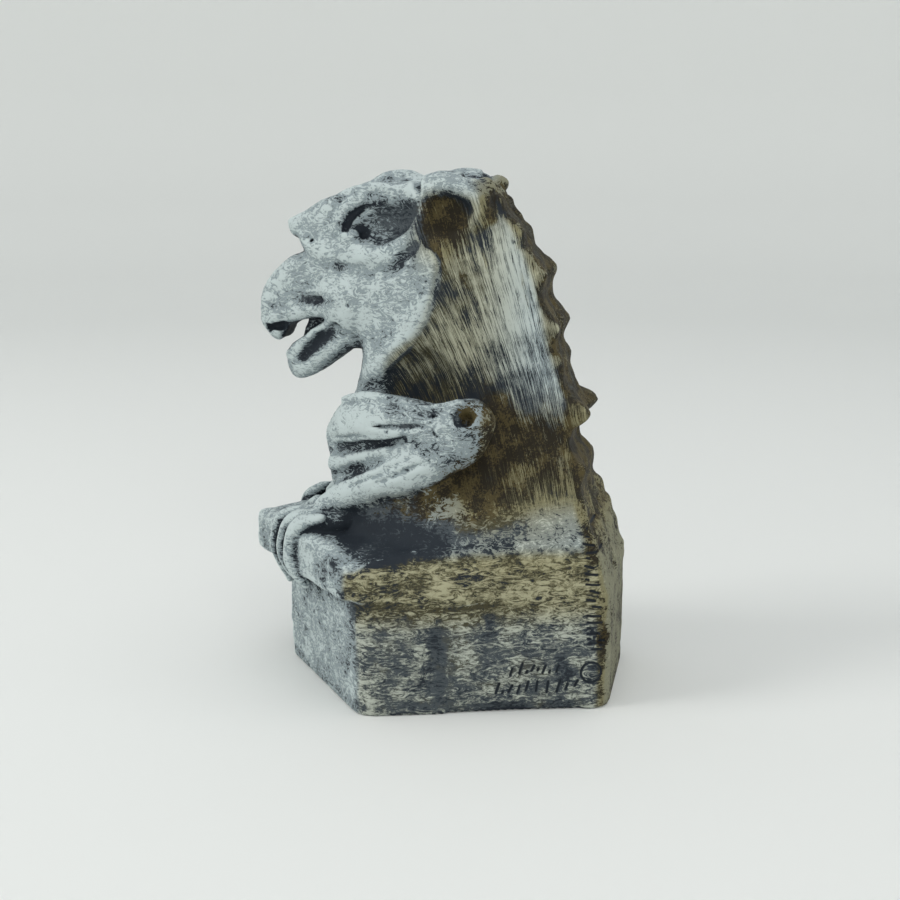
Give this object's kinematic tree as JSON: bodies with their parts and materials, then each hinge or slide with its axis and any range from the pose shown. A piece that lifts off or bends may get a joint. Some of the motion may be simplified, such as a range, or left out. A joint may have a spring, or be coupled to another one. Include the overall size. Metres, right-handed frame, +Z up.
{
  "type": "gargoyle ornament",
  "caption": "Beaked, maned creature leaning out over the pointed corner of a parapet and gripping its slab, cast in one piece with a flat underside.",
  "frame": {"origin": "middle of the underside's bounding box", "axes": "+Z up, the creature faces -Y, its left side is +X"},
  "size_m": [0.094, 0.1128, 0.1518],
  "materials": {
    "cast_stone": "fine artificial stone, matt, dark slate coat dry-brushed pale grey on the raised parts, brown in the hollows"
  },
  "bodies": {
    "root": {"gargoyle": "cast_stone"}
  },
  "joints": []
}
